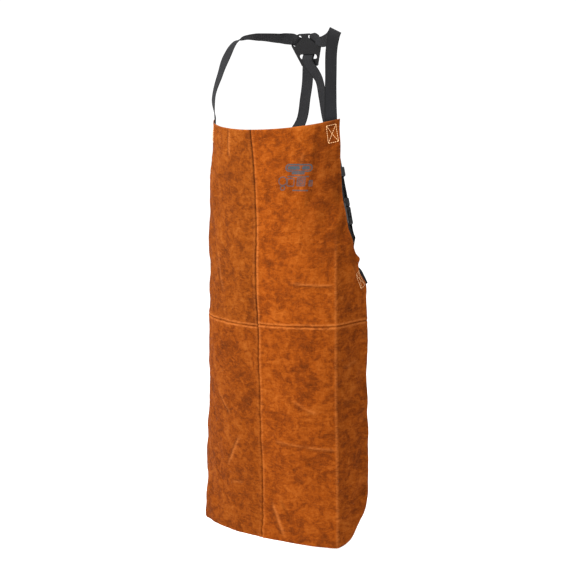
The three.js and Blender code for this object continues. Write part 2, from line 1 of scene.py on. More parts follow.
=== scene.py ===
"""Leather welding apron with a cross-back webbing harness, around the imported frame.

Lengths in this script are millimetres until a mesh is made. The leather hangs as one bent sheet:
a point of it is named by s, along the sheet from the centre seam (positive to the wearer's left),
and h, down from the bib top, the same as in the CAD source.
"""

import math

import bpy
import numpy as np
from mathutils import Matrix, Vector


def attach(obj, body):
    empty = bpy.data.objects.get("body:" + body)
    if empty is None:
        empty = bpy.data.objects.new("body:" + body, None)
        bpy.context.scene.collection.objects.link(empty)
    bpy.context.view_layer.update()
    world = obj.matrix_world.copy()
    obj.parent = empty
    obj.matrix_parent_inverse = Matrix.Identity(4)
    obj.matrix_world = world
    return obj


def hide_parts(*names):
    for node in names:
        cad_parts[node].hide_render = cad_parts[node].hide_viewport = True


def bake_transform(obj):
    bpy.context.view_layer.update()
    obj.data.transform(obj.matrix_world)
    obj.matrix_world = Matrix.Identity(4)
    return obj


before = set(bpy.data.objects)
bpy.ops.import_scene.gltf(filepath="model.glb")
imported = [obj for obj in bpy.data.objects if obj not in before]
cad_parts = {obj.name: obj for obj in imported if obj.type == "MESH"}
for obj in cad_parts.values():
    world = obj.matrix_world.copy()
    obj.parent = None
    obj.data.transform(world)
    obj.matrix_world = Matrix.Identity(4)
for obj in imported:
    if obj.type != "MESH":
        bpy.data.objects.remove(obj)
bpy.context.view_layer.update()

MM = 0.001

# ---- the apron's dimensions, as in the CAD source ----
APRON_LENGTH = 1000.0
SKIRT_HALF = 300.0
BIB_HALF = 210.0
BIB_TOP_Z = -232.0
ARMHOLE_TOP, ARMHOLE_END, ARMHOLE_POWER = 19.0, 376.0, 3.1
HEM_WIDTH, HEM_HEIGHT, HEM_POWER = 88.0, 130.0, 1.6
WAIST = {1: 461.0, -1: 466.0}
LEATHER = 3.0
GAP = 0.4
WEB, WEB_T = 30.0, 2.0  # the webbing's width, and its thickness in the CAD model
WEB_LOOK_T = 1.7  # the webbing's own thickness, which clears the bars
BIB_STRAP_S, BIB_STRAP_SEWN = 190.0, 44.0
SEWN_CLEARANCE = {1: 0.8, -1: 2.2}  # from the plain sheet's inside to the sewn webbing
HIP_CLEARANCE = 3.7
PLATE_T = 2.6
STRAP_LAYER = 2.8  # from one strap to the other where they cross
PLATE_CENTRE = np.array([0.0, 90.0, -32.0])
PLATE_LEAN = math.radians(20)

# The hardware at a hip lies along one straight line, z along it and y away from the body.
BUCKLE_AT = np.array([129.5, 83.0, -463.0])  # the left line's origin, level with the female buckle's bar
STRAP_LINE = np.array([-54.0, 29.0, 176.0])  # the left line's direction
STRAP_OUT = np.array([0.62, 0.78, 0.0])  # roughly its y
BAR_R = 1.9
WRAP_R = BAR_R + WEB_T / 2 + 0.35  # middle of the webbing round a bar
MID_Y = -WRAP_R  # the bars of the buckle halves
MALE_BAR = 59.0
SLIDER_Z, SLIDER_BAR_Y = 131.0, -6.4
LINE_TOP = 185.0
END_TACK_Z, LOOP_TACK_Z = 104.0, -14.0
DOUBLED_Y = -6.6  # the doubled end's y at its bartack

# ---- the leather's build ----
SKIN_T = 1.5  # the split leather's real thickness
SKIN_MID = 0.75  # depth of its middle under the outer face
ROLL_R = 1.1  # radius of the leather turned in at a seam
ALLOWANCE = 11.0  # how far it runs back inside
GRID = 3.6  # spacing of the leather's mesh
FOLD_S = 197.0  # the skirt's fold on the wearer's left
EVEN_END_S = 206.0  # the even mesh ends just past the fold
STITCH_OFFSETS = (-4.5, 4.5)  # the two stitch rows of a seam
SIDES = ((1, "left"), (-1, "right"))


def smooth(a, b, x):
    t = np.clip((x - a) / (b - a), 0, 1)
    return t * t * (3 - 2 * t)


def lerp(a, b, t):
    return a + (b - a) * t


def unit(v):
    v = np.asarray(v, float)
    return v / np.linalg.norm(v, axis=-1, keepdims=True)


# ---- the hanging sheet ----
def sheet_angle(s, h):
    """Angle of the sheet in plan: 0 faces the front, a quarter turn faces sideways.

    The bib is round. The skirt is folded on the wearer's left and bends gently on the right, where its
    lower corner turns back. Above the hips the straps pull the edges in.
    """
    across, right = np.abs(s), s < 0
    corner = np.where(right, 0.28 * smooth(150, 210, across) * (1 - smooth(0, 130, h)), 0)
    radius = np.where(right, lerp(245, 253, smooth(20, 140, h)), 245)
    on_bib = s / radius - corner
    down = smooth(WAIST[1], APRON_LENGTH, h)
    right_skirt = -np.radians(lerp(67.5, 50, down)) * (across / 262) ** 1.5
    near_hem = smooth(850, 960, h)
    tucked = 6 * (across / 212) ** 1.5 - 75 * smooth(205, 285, across)
    right_skirt = right_skirt + near_hem * np.radians(tucked)
    front, side = lerp(38.3, 26.4, down), lerp(73, 74, down)
    left_skirt = np.radians(
        front * (np.minimum(across, 198) / 198) ** 1.3 + (side - front) * smooth(192, 204, s)
    )
    on_skirt = np.where(right, right_skirt, left_skirt)
    pull = np.exp(-(((h - 342) / 46) ** 2)) * smooth(236, 298, across) * math.radians(36)
    return lerp(on_bib, on_skirt, smooth(60, 430, h)) + np.sign(s) * pull


def centre_y(h):
    """Where the sheet's middle hangs, from front to back."""
    upper = lerp(-150.5, -129.6, smooth(-150, 474, h))
    return np.where(h < 474, upper, lerp(-129.6, -109.4, smooth(474, APRON_LENGTH, h)))


def sheet_normal(s, h):
    angle = sheet_angle(s, h)
    return np.stack([np.sin(angle), -np.cos(angle), np.zeros_like(angle)], -1)


def sheet_point(s, h, depth=0.0):
    """Points of the sheet at (s, h), moved inwards by depth."""
    s, h = np.broadcast_arrays(np.asarray(s, float), np.asarray(h, float))
    steps = 150
    x = np.zeros(s.shape)
    y = centre_y(h) * np.ones(s.shape)
    for k in range(steps):
        angle = sheet_angle(s * (k + 0.5) / steps, h)
        x = x + np.cos(angle) * s / steps
        y = y + np.sin(angle) * s / steps
    lift = 25 * np.minimum(np.abs(s) / BIB_HALF, 1.3) ** 2 * (1 - smooth(0, 626, h))
    at = np.stack([x, y, BIB_TOP_Z - h + lift], -1)
    return at - sheet_normal(s, h) * np.asarray(depth, float)[..., None]


def half_width(h):
    """From the centre seam to the cut edge, along the sheet."""
    h = np.asarray(h, float)
    widening = np.clip((h - ARMHOLE_TOP) / (ARMHOLE_END - ARMHOLE_TOP), 0, 1)
    corner = np.maximum(0, h - (APRON_LENGTH - HEM_HEIGHT)) / HEM_HEIGHT
    side = SKIRT_HALF - HEM_WIDTH * (1 - (1 - corner**HEM_POWER) ** (1 / HEM_POWER))
    bib = BIB_HALF + (SKIRT_HALF - BIB_HALF) * widening**ARMHOLE_POWER
    return np.where(h < ARMHOLE_END, bib, side)


# ---- relief of the leather ----
def ripples(seed, shortest, longest, count=26):
    """A smooth random surface of (s, h) made of waves between two wavelengths."""
    rng = np.random.default_rng(seed)
    lengths = np.exp(rng.uniform(math.log(shortest), math.log(longest), count))
    turns = rng.uniform(0, math.pi, count)
    phases = rng.uniform(0, 2 * math.pi, count)

    def surface(s, h):
        total = np.zeros(np.broadcast(s, h).shape)
        for length, turn, phase in zip(lengths, turns, phases):
            k = 2 * math.pi / length
            total += np.cos(k * (s * math.cos(turn) + h * math.sin(turn)) + phase)
        return total / math.sqrt(count / 2)

    return surface


BROAD = ripples(11, 150, 420)
MEDIUM = ripples(12, 46, 120)
FINE = ripples(13, 15, 36, 34)

# Creases as (start, end, height, width) in (s, h).
CREASES = (
    ((88, 359), (196, 369), 1.3, 3.2),
    ((40, 745), (120, 752), 0.8, 3.5),
    ((120, 752), (197, 757), 1.1, 3.5),
    ((-62, 748), (-109, 834), 1.3, 4.5),
    ((-74, 2), (-78, 66), 1.5, 4.0),
    ((-60, 868), (-92, 872), 0.9, 3.5),
    ((236, 300), (262, 352), -1.2, 5.0),
    ((222, 560), (262, 548), 0.8, 4.0),
    ((214, 640), (276, 652), -0.9, 5.0),
    ((30, 905), (62, 985), 1.1, 6.0),
    ((52, 896), (76, 940), -1.0, 6.0),
    ((90, 640), (150, 668), 0.6, 5.0),
    ((-150, 640), (-96, 700), 0.7, 5.0),
    ((-140, 300), (-112, 392), 0.7, 6.0),
    ((110, 120), (124, 60), 0.6, 5.0),
)


def along_line(s, h, start, end):
    """Distance sideways from a line piece, and a share that fades out at its ends."""
    a, b = np.array(start, float), np.array(end, float)
    length = np.linalg.norm(b - a)
    way = (b - a) / length
    t = (s - a[0]) * way[0] + (h - a[1]) * way[1]
    side = (s - a[0]) * -way[1] + (h - a[1]) * way[0]
    fade = smooth(-6, length * 0.18, t) * (1 - smooth(length * 0.82, length + 6, t))
    return side, fade


def seam_wander(h):
    """How far the centre seam strays sideways."""
    return np.interp(h, [0, 120, 250, 380, 470, 700, 860, 1000], [-3.5, 2.5, 2, -2.5, 2.5, 1, 3, -2.5])


def relief(s, h):
    """How far the outer face stands proud of the plain sheet."""
    edge = half_width(h) - np.abs(s)
    loose = smooth(70, 0, edge)
    total = 1.1 * BROAD(s, h) + (0.65 + 1.0 * loose) * MEDIUM(s, h) + 0.22 * FINE(s, h)
    for start, end, height, width in CREASES:
        side, fade = along_line(s, h, start, end)
        total = total + height * fade * np.exp(-((side / width) ** 2))
    # A shallow hollow runs down the wearer's left half of the bib.
    hollow_s = np.interp(h, [0, 80, 160, 215, 260], [155, 158, 142, 119, 112])
    hollow = np.exp(-(((s - hollow_s) / 17) ** 2)) * (1 - smooth(150, 300, h))
    total = total - 4.2 * hollow * (0.5 + 0.5 * smooth(-20, 60, h))
    # The skirt's fold is a little crisper than the sheet's own bend.
    fold = np.exp(-(((s - FOLD_S) / 4.5) ** 2)) * smooth(215, 330, h)
    total = total + 0.9 * fold
    # Puckers where the leather is drawn in by the seams.
    near_centre = np.exp(-np.abs(s) / 13)
    pucker = np.sin(h / 4.1 + 1.7 * np.sin(h / 37) + np.tanh(s / 10)) + 0.7 * np.sin(h / 9.7 + 0.8)
    gathered = 0.35 + 1.1 * smooth(840, 930, h) * smooth(3, -3, s - 30)
    total = total + near_centre * pucker * gathered
    waist = np.where(s < 0, WAIST[-1], WAIST[1])
    near_waist = np.exp(-np.abs(h - waist) / 10)
    total = total + 0.35 * near_waist * (np.sin(s / 5.3 + 1.1 * np.sin(s / 31)) + 0.5 * np.sin(s / 12.1))
    # Cushioned roll beside each seam.
    total = total + 1.5 * np.exp(-(((np.abs(s) - 5.5) / 3.6) ** 2))
    total = total + 1.1 * np.exp(-(((np.abs(h - waist) - 5) / 3.4) ** 2))
    return total


def crest_wear_and_highlight(s, h):
    """Where the nap is rubbed pale, with a painted highlight: along the raised creases, the fold and the
    cut edges.
    """
    total = np.zeros(np.broadcast(s, h).shape)
    for start, end, height, width in CREASES:
        if height > 0:
            side, fade = along_line(s, h, start, end)
            total = np.maximum(total, 0.55 * height * fade * np.exp(-((side / (0.7 * width)) ** 2)))
    fold = 0.55 * np.exp(-(((s - FOLD_S) / 2.6) ** 2)) * smooth(225, 340, h)
    top = 0.5 * np.exp(-np.maximum(0, h - 0.5) / 1.6)
    edge = 0.3 * np.exp(-np.maximum(0, half_width(h) - np.abs(s) - 0.5) / 1.6)
    return np.maximum.reduce([total, fold, top + 0 * s, edge])


def crease_shade(s, h):
    """Painted shade just below the raised creases and along the sunken ones."""
    total = np.zeros(np.broadcast(s, h).shape)
    for start, end, height, width in CREASES:
        side, fade = along_line(s, h, start, end)
        side = side - width * 1.15 if height > 0 else side
        total = np.maximum(total, 0.3 * abs(height) * fade * np.exp(-((side / (0.8 * width)) ** 2)))
    return total


def bump_at_armhole(s, h):
    """The edge curls outwards in one small wave above each hip."""
    edge = smooth(26, 0, half_width(h) - np.abs(s))
    return edge * (8.5 * np.exp(-(((h - 321) / 8) ** 2)) - 3.0 * np.exp(-(((h - 337) / 8) ** 2)))


def skin_point(s, h, depth=0.0):
    """A point of the detailed leather, with its relief."""
    proud = relief(s, h)
    wander = seam_wander(h) * np.exp(-((s / 45) ** 2))
    at = sheet_point(s, h, np.asarray(depth, float) - proud)
    angle = sheet_angle(s, h)
    along = np.stack([np.cos(angle), np.sin(angle), np.zeros_like(angle)], -1)
    outwards = along * np.sign(s)[..., None]
    return at + along * wander[..., None] + outwards * bump_at_armhole(s, h)[..., None]


# ---- mesh helpers ----
def new_object(name, points, faces, uvs=None, materials=()):
    mesh = bpy.data.meshes.new(name)
    mesh.from_pydata([tuple(p) for p in np.asarray(points) * MM], [], faces)
    mesh.validate()
    if uvs is not None:
        layer = mesh.uv_layers.new(name="UVMap")
        corner = np.empty(len(mesh.loops), int)
        mesh.loops.foreach_get("vertex_index", corner)
        layer.data.foreach_set("uv", (np.asarray(uvs)[corner] * MM).astype(np.float32).ravel())
    for material in materials:
        mesh.materials.append(material)
    mesh.polygons.foreach_set("use_smooth", [True] * len(mesh.polygons))
    obj = bpy.data.objects.new(name, mesh)
    bpy.context.scene.collection.objects.link(obj)
    return obj


def grid_faces(rows, cols, flip=False, closed_rows=False):
    faces = []
    last = rows if closed_rows else rows - 1
    for r in range(last):
        for c in range(cols - 1):
            a, b = r * cols + c, ((r + 1) % rows) * cols + c
            quad = (a, b, b + 1, a + 1)
            faces.append(quad[::-1] if flip else quad)
    return faces


def seam_profile():
    """(distance from the seam, extra depth, unrolled distance) from the turned-in end to the face."""
    pressed = 0.15  # the two panels' rolls press into each other
    centre = ROLL_R + SKIN_MID - pressed
    rows = []
    for d in (ALLOWANCE, 8.0, 5.0, 3.2):
        rows.append((d, 2 * ROLL_R, centre - math.pi * ROLL_R - (d - centre)))
    for phi in (90, 60, 30, 0, -30, -60, -90):
        turn = math.radians(phi)
        unrolled = centre - ROLL_R * (turn + math.pi / 2)
        rows.append((centre - ROLL_R * math.cos(turn), ROLL_R + ROLL_R * math.sin(turn), unrolled))
    for d in (3.0, 4.4, 6.2, 8.4):
        rows.append((d, 0.0, d))
    return np.array(rows)


def leather_panel(side, name, top, bottom, seam_at_top):
    """One leather panel, turned in at the centre seam and at the waist."""
    profile = seam_profile()
    start = profile[-1, 0]
    # Columns: the seam's roll, an even grid to the fold, then a spread to the cut edge.
    even = np.arange(start + GRID, EVEN_END_S, GRID)
    spread = np.linspace(0, 1, 27)[1:]
    # Rows: measured from the waist seam to the free end, where they crowd together.
    length = bottom - top
    rows_even = np.arange(start + GRID, length - 12, GRID)
    tail = length - np.array([10.5, 8.2, 6.2, 4.4, 3.0, 1.8, 0.9, 0.3, 0.0])
    from_seam = np.concatenate([profile[:, 0], rows_even, tail])
    row_depth = np.concatenate([profile[:, 1], np.zeros(len(rows_even) + len(tail))])
    row_unrolled = np.concatenate([profile[:, 2], rows_even, tail])
    h = top + from_seam if seam_at_top else bottom - from_seam
    v = top + row_unrolled if seam_at_top else bottom - row_unrolled
    edge = half_width(h)
    cols = np.concatenate([profile[:, 0], even])
    fixed = np.repeat(cols[None, :], len(h), 0)
    free = EVEN_END_S + (edge - EVEN_END_S)[:, None] * spread[None, :]
    s = np.concatenate([fixed, free], 1)
    u = np.concatenate([np.repeat(np.concatenate([profile[:, 2], even])[None, :], len(h), 0), free], 1)
    depth_cols = np.concatenate([profile[:, 1], np.zeros(len(even) + len(spread))])
    depth = SKIN_MID + depth_cols[None, :] + row_depth[:, None]
    hh = np.repeat(h[:, None], s.shape[1], 1)
    points = skin_point(side * s, hh, depth).reshape(-1, 3)
    uvs = np.stack([side * u, np.repeat(v[:, None], s.shape[1], 1)], -1).reshape(-1, 2)
    flip = (side > 0) != seam_at_top
    faces = grid_faces(len(h), s.shape[1], flip)
    obj = new_object(name, points, faces, uvs, (SUEDE_OUT[side, seam_at_top], SUEDE_IN, SUEDE_RIM))
    from_centre, from_waist = u, np.repeat(row_unrolled[:, None], u.shape[1], 1)
    # The seam rolls are rubbed pale with a painted highlight, strongest on the wearer's left roll of the
    # centre seam, which faces the light.
    crest = np.interp(hh, [0, 200, 230, 400, 600, 1000], [0.3, 0.45, 0.75, 0.7, 0.4, 0.35])
    wear_and_highlight = np.maximum(
        crest * (1 if side > 0 else 0.35) * np.exp(-(((from_centre - 5.0) / 2.2) ** 2)),
        0.75 * np.exp(-(((from_waist - 4.0) / 1.7) ** 2)),
    )
    wear_and_highlight = np.maximum(wear_and_highlight, crest_wear_and_highlight(side * s, hh))
    # Painted shade in the seam grooves, wider beside the wearer's right roll, which faces away from the
    # light, and painted shade below the creases.
    groove = np.interp(hh, [0, 110, 220, 470, 620, 1000], [0.95, 0.75, 0.5, 0.6, 0.35, 0.3])
    painted_shade = np.maximum(
        groove * np.exp(-np.maximum(0, from_centre - 0.6) / (0.9 if side > 0 else 1.5)),
        0.25 * np.exp(-np.maximum(0, from_waist - 0.4) / 0.9),
    )
    for attribute_name, values in (("wear_and_highlight", wear_and_highlight), ("painted_shade", np.maximum(painted_shade, crease_shade(side * s, hh)))):
        attribute = obj.data.attributes.new(attribute_name, "FLOAT", "POINT")
        attribute.data.foreach_set("value", np.clip(values, 0, 1).astype(np.float32).ravel())
    solid = obj.modifiers.new("thickness", "SOLIDIFY")
    solid.thickness = SKIN_T * MM
    solid.offset = 0
    solid.material_offset = 1
    solid.material_offset_rim = 2
    return obj


# ---- materials ----
def srgb(r, g, b):
    def linear(c):
        c = c / 255
        return c / 12.92 if c <= 0.04045 else ((c + 0.055) / 1.055) ** 2.4

    return (linear(r), linear(g), linear(b), 1.0)


class Nodes:
    """Short calls for building a node tree."""

    def __init__(self, name):
        self.material = bpy.data.materials.new(name)
        self.material.use_nodes = True
        self.tree = self.material.node_tree
        self.shader = self.tree.nodes["Principled BSDF"]

    def add(self, kind, inputs=(), **settings):
        node = self.tree.nodes.new(kind)
        for key, value in settings.items():
            setattr(node, key, value)
        for key, value in dict(inputs).items():
            self.set(node.inputs[key], value)
        return node

    def set(self, socket, value):
        if isinstance(value, bpy.types.NodeSocket):
            self.tree.links.new(value, socket)
        else:
            socket.default_value = value

    def math(self, operation, a, b=0.0, c=0.0):
        return self.add("ShaderNodeMath", {0: a, 1: b, 2: c}, operation=operation).outputs[0]

    def vector(self, operation, a, b=(0, 0, 0)):
        return self.add("ShaderNodeVectorMath", {0: a, 1: b}, operation=operation)

    def uv(self, scale=(1, 1, 1), turn=0.0, at=(0, 0, 0)):
        source = self.add("ShaderNodeTexCoord").outputs["UV"]
        inputs = {"Vector": source, "Location": at, "Rotation": (0, 0, turn), "Scale": scale}
        return self.add("ShaderNodeMapping", inputs).outputs[0]

    def noise(self, vector, scale, detail=4.0, roughness=0.6, distortion=0.0):
        inputs = {"Vector": vector, "Scale": scale, "Detail": detail}
        inputs |= {"Roughness": roughness, "Distortion": distortion}
        return self.add("ShaderNodeTexNoise", inputs).outputs["Fac"]

    def ramp(self, factor, stops):
        node = self.add("ShaderNodeValToRGB", {"Fac": factor})
        ramp = node.color_ramp
        while len(ramp.elements) < len(stops):
            ramp.elements.new(0.5)
        for element, (position, color) in zip(ramp.elements, stops):
            element.position = position
            element.color = color
        return node.outputs["Color"]

    def mix(self, factor, a, b, blend="MIX"):
        node = self.add("ShaderNodeMix", data_type="RGBA", blend_type=blend)
        self.set(node.inputs["Factor"], factor)
        self.set(node.inputs["A"], a)
        self.set(node.inputs["B"], b)
        return node.outputs["Result"]

    def remap(self, value, low, high, to_low=0.0, to_high=1.0):
        inputs = {"Value": value, "From Min": low, "From Max": high, "To Min": to_low, "To Max": to_high}
        return self.add("ShaderNodeMapRange", inputs).outputs["Result"]

    def bump(self, height, distance, strength=1.0, normal=None):
        inputs = {"Height": height, "Distance": distance, "Strength": strength}
        if normal is not None:
            inputs["Normal"] = normal
        return self.add("ShaderNodeBump", inputs).outputs["Normal"]


def stamp_mask(n):
    """A faded stamp of plain bars, rules and outlines on the wearer's left half of the bib."""
    here = n.uv(scale=(1000, 1000, 1), turn=-0.114, at=(-75.7, -70.8, 0))

    def shape(centre, half, radius, line=None):
        """Distance to a rounded box, or to its outline drawn as a line of that half width."""
        shifted = n.vector("SUBTRACT", here, (*centre, 0)).outputs[0]
        folded = n.vector("ABSOLUTE", shifted).outputs[0]
        past = n.vector("SUBTRACT", folded, (half[0] - radius, half[1] - radius, 0)).outputs[0]
        outside = n.vector("MAXIMUM", past).outputs[0]
        flat = n.vector("MULTIPLY", outside, (1, 1, 0)).outputs[0]
        distance = n.math("SUBTRACT", n.vector("LENGTH", flat).outputs["Value"], radius)
        if line is not None:
            distance = n.math("SUBTRACT", n.math("ABSOLUTE", distance), line)
        return distance

    # Centre, half size, corner radius, and half the line's width or None where it is filled.
    shapes = (
        ((47.5, 10), (30.5, 7.4), 7.2, 1.5),
        ((36, 10), (15, 4.2), 4.0, None),
        ((64, 10), (9.5, 4.2), 4.0, None),
        ((47, 22), (15, 2.6), 1.0, None),
        ((48, 29.5), (25, 1.2), 0.6, None),
        ((12, 41), (9.5, 9.5), 9.4, 0.9),
        ((13, 57), (5, 4.5), 4.4, 0.9),
        ((31, 43), (8, 8.5), 2.5, 0.9),
        ((55.5, 41.5), (9, 9), 1.0, 0.9),
        ((55.5, 41.5), (4, 4), 3.8, 0.9),
        ((55, 61), (18, 1.3), 0.6, None),
        ((78, 45), (3.6, 6), 1.0, 0.8),
    )
    nearest = None
    for centre, half, radius, line in shapes:
        distance = shape(centre, half, radius, line)
        nearest = distance if nearest is None else n.math("MINIMUM", nearest, distance)
    blur = 0.9
    mask = n.remap(nearest, blur, -blur)
    broken = n.remap(n.noise(n.uv(), 420.0, 3.0, 0.7), 0.30, 0.52, 0.35, 1.0)
    return n.math("MULTIPLY", mask, broken)


DARK = srgb(76, 29, 2)
RUST = srgb(101, 42, 3)
TAN = srgb(122, 55, 5)
PALE = srgb(150, 80, 25)
# The pale of rubbed nap, also used as the painted highlight on ridges and seam rolls.
RUBBED_AND_LIT = srgb(162, 92, 40)
FIBRE_TIP = srgb(120, 80, 42)
STAMP_INK = srgb(38, 66, 74)
# Painted shade in grooves and below creases.
SHADE_COLOR = srgb(38, 14, 5)
DYE_AND_SHADE = (0.45, 0.42, 0.4, 1.0)  # what the painted shade, partly a darker dye, multiplies the colour by
DYE = (DARK, RUST, TAN, PALE)


def suede(name, dark, rust, tan, pale, stamped=False, tone=(1, 1, 1)):
    """Brushed split leather: mottled dye, a directional nap, ridges rubbed pale with a painted highlight,
    and painted shade in the seams, below the creases and on the upper corner of the wearer's left half of
    the bib.
    """
    n = Nodes(name)
    plain = n.uv()
    brushed = n.uv(scale=(1.0, 0.35, 1.0), turn=0.5)
    crossed = n.uv(scale=(0.4, 1.0, 1.0), turn=0.3, at=(0.37, 0.11, 0))
    blotches = n.noise(plain, 13.0, 4.0, 0.55, 0.6)
    patches = n.noise(plain, 48.0, 4.0, 0.6, 0.9)
    curls = n.noise(crossed, 120.0, 4.0, 0.65, 1.6)
    nap = n.noise(brushed, 300.0, 4.0, 0.7, 0.8)
    mixed = n.math("ADD", n.math("MULTIPLY", blotches, 0.26), n.math("MULTIPLY", patches, 0.34))
    mixed = n.math("ADD", mixed, n.math("MULTIPLY", curls, 0.26))
    mixed = n.math("ADD", mixed, n.math("MULTIPLY", nap, 0.14))
    color = n.ramp(mixed, [(0.37, dark), (0.46, rust), (0.52, tan), (0.66, pale)])
    # Scuffs: short pale curved lines where the fibres lie over.
    ridge = n.math("ABSOLUTE", n.math("SUBTRACT", n.noise(crossed, 34.0, 3.0, 0.6, 2.2), 0.5))
    scuff = n.math("MULTIPLY", n.remap(ridge, 0.022, 0.0), n.remap(curls, 0.5, 0.66))
    color = n.mix(n.math("MULTIPLY", scuff, 0.55), color, pale)
    specks = n.noise(plain, 900.0, 2.0, 0.6)
    color = n.mix(n.remap(specks, 0.56, 0.72, 0.0, 0.28), color, dark)
    color = n.mix(n.remap(specks, 0.46, 0.30, 0.0, 0.55), color, FIBRE_TIP)
    parts = n.add("ShaderNodeSeparateXYZ", {0: plain})
    s, h = parts.outputs[0], parts.outputs[1]
    # Painted shade where the upper corner of the wearer's left half of the bib turns from the light, partly
    # a darker dye there.
    dye_and_shade_s = n.remap(n.math("MULTIPLY_ADD", h, 0.16, s), 0.150, 0.157)
    dye_and_shade = n.math("MULTIPLY", dye_and_shade_s, n.remap(h, 0.30, 0.14))
    color = n.mix(n.math("MULTIPLY", dye_and_shade, 0.56), color, n.mix(1.0, color, DYE_AND_SHADE, "MULTIPLY"))
    color = n.mix(1.0, color, (*tone, 1), "MULTIPLY")
    # Ridges rubbed pale, with a painted highlight.
    wear_and_highlight = n.add("ShaderNodeAttribute", attribute_name="wear_and_highlight").outputs["Fac"]
    rubbed = n.math("MULTIPLY", wear_and_highlight, n.remap(curls, 0.38, 0.6, 0.35, 1.0))
    color = n.mix(rubbed, color, RUBBED_AND_LIT)
    # Painted shade in the seam grooves and below the creases.
    painted_shade = n.add("ShaderNodeAttribute", attribute_name="painted_shade").outputs["Fac"]
    color = n.mix(painted_shade, color, SHADE_COLOR)
    if stamped:
        color = n.mix(n.math("MULTIPLY", stamp_mask(n), 0.9), color, STAMP_INK)
    n.set(n.shader.inputs["Base Color"], color)
    n.set(n.shader.inputs["Roughness"], n.remap(nap, 0.3, 0.7, 1.0, 0.88))
    n.shader.inputs["Specular IOR Level"].default_value = 0.04
    n.shader.inputs["Sheen Weight"].default_value = 0.05
    n.shader.inputs["Sheen Roughness"].default_value = 0.5
    n.shader.inputs["Sheen Tint"].default_value = srgb(235, 130, 60)
    fibre = n.noise(brushed, 1500.0, 2.0, 0.6)
    coarse = n.bump(patches, 0.0022, 0.8)
    medium = n.bump(n.math("ADD", nap, n.math("MULTIPLY", scuff, 0.5)), 0.0008, 0.8, coarse)
    n.set(n.shader.inputs["Normal"], n.bump(fibre, 0.00025, 0.6, medium))
    return n.material


SUEDE_OUT = {
    (1, False): suede("suede_upper_left", *DYE, stamped=True, tone=(0.98, 0.96, 0.9)),
    (1, True): suede("suede_lower_left", *DYE, tone=(0.91, 0.88, 0.8)),
    (-1, False): suede("suede_upper_right", *DYE, tone=(0.78, 0.82, 0.85)),
    (-1, True): suede("suede_lower_right", *DYE, tone=(0.77, 0.765, 0.72)),
}
INSIDE = (srgb(96, 48, 18), srgb(120, 64, 26), srgb(140, 78, 36), srgb(160, 98, 54))
CUT_EDGE = (srgb(52, 14, 8), srgb(70, 20, 10), srgb(88, 30, 14), srgb(110, 48, 22))
SUEDE_IN = suede("suede_inside", *INSIDE)
SUEDE_RIM = suede("suede_cut", *CUT_EDGE)


LOWER_U = 40.0


def webbing_material():
    """Charcoal polypropylene webbing in a fine herringbone weave, u across and v along."""
    n = Nodes("webbing")
    source = n.add("ShaderNodeTexCoord").outputs["UV"]
    parts = n.add("ShaderNodeSeparateXYZ", {0: source})
    u, v = parts.outputs[0], parts.outputs[1]
    pitch = 2 * math.pi / 0.0017  # one pick of the weave is 1.7 mm
    chevron = n.math("PINGPONG", u, 0.00375)
    picks = n.math("SINE", n.math("MULTIPLY", n.math("ADD", v, chevron), pitch))
    warp = n.math("SINE", n.math("MULTIPLY", u, pitch * 1.25))
    weave = n.math("MULTIPLY_ADD", picks, 0.35, n.math("MULTIPLY", warp, 0.15))
    fuzz = n.noise(source, 900.0, 3.0, 0.6)
    slow = n.noise(source, 24.0, 3.0, 0.5)
    ribs = n.math("MULTIPLY_ADD", weave, 0.35, 0.5)
    tone = n.math("ADD", ribs, n.math("MULTIPLY_ADD", fuzz, 0.3, -0.15))
    tone = n.math("ADD", tone, n.math("MULTIPLY_ADD", slow, 0.4, -0.2))
    color = n.ramp(tone, [(0.1, srgb(13, 13, 14)), (0.5, srgb(24, 24, 26)), (0.95, srgb(42, 42, 44))])
    # The selvages are darker. The middle of the upper face is u = 0, and of the lower face LOWER_U.
    lower = n.math("ABSOLUTE", n.math("SUBTRACT", u, LOWER_U * MM))
    from_middle = n.math("MINIMUM", n.math("ABSOLUTE", u), lower)
    color = n.mix(n.remap(from_middle, 0.0122, 0.0142), color, srgb(5, 5, 6))
    n.set(n.shader.inputs["Base Color"], color)
    n.set(n.shader.inputs["Roughness"], n.remap(fuzz, 0.3, 0.7, 0.75, 0.95))
    n.shader.inputs["Specular IOR Level"].default_value = 0.2
    n.set(n.shader.inputs["Normal"], n.bump(weave, 0.0003, 0.9, n.bump(fuzz, 0.0001, 0.6)))
    return n.material


def thread_material(name, color, shade):
    """Twisted sewing thread."""
    n = Nodes(name)
    where = n.add("ShaderNodeTexCoord").outputs["Object"]
    twist = n.noise(where, 2600.0, 2.0, 0.5)
    n.set(n.shader.inputs["Base Color"], n.ramp(twist, [(0.3, shade), (0.6, color)]))
    n.shader.inputs["Roughness"].default_value = 0.75
    n.set(n.shader.inputs["Normal"], n.bump(twist, 0.0002, 0.7))
    return n.material


def moulded_material(name, color, edge, roughness, gloss, grain):
    """Moulded black plastic with a fine spark-eroded grain and slightly paler rubbed spots."""
    n = Nodes(name)
    where = n.add("ShaderNodeTexCoord").outputs["Object"]
    rubbed = n.noise(where, 60.0, 5.0, 0.6)
    fine = n.noise(where, grain, 2.0, 0.6)
    n.set(n.shader.inputs["Base Color"], n.ramp(rubbed, [(0.4, color), (0.72, edge)]))
    n.set(n.shader.inputs["Roughness"], n.remap(rubbed, 0.3, 0.7, roughness, roughness + 0.14))
    n.shader.inputs["Specular IOR Level"].default_value = gloss
    n.set(n.shader.inputs["Normal"], n.bump(fine, 0.00012, 0.5, n.bump(rubbed, 0.0004, 0.3)))
    return n.material


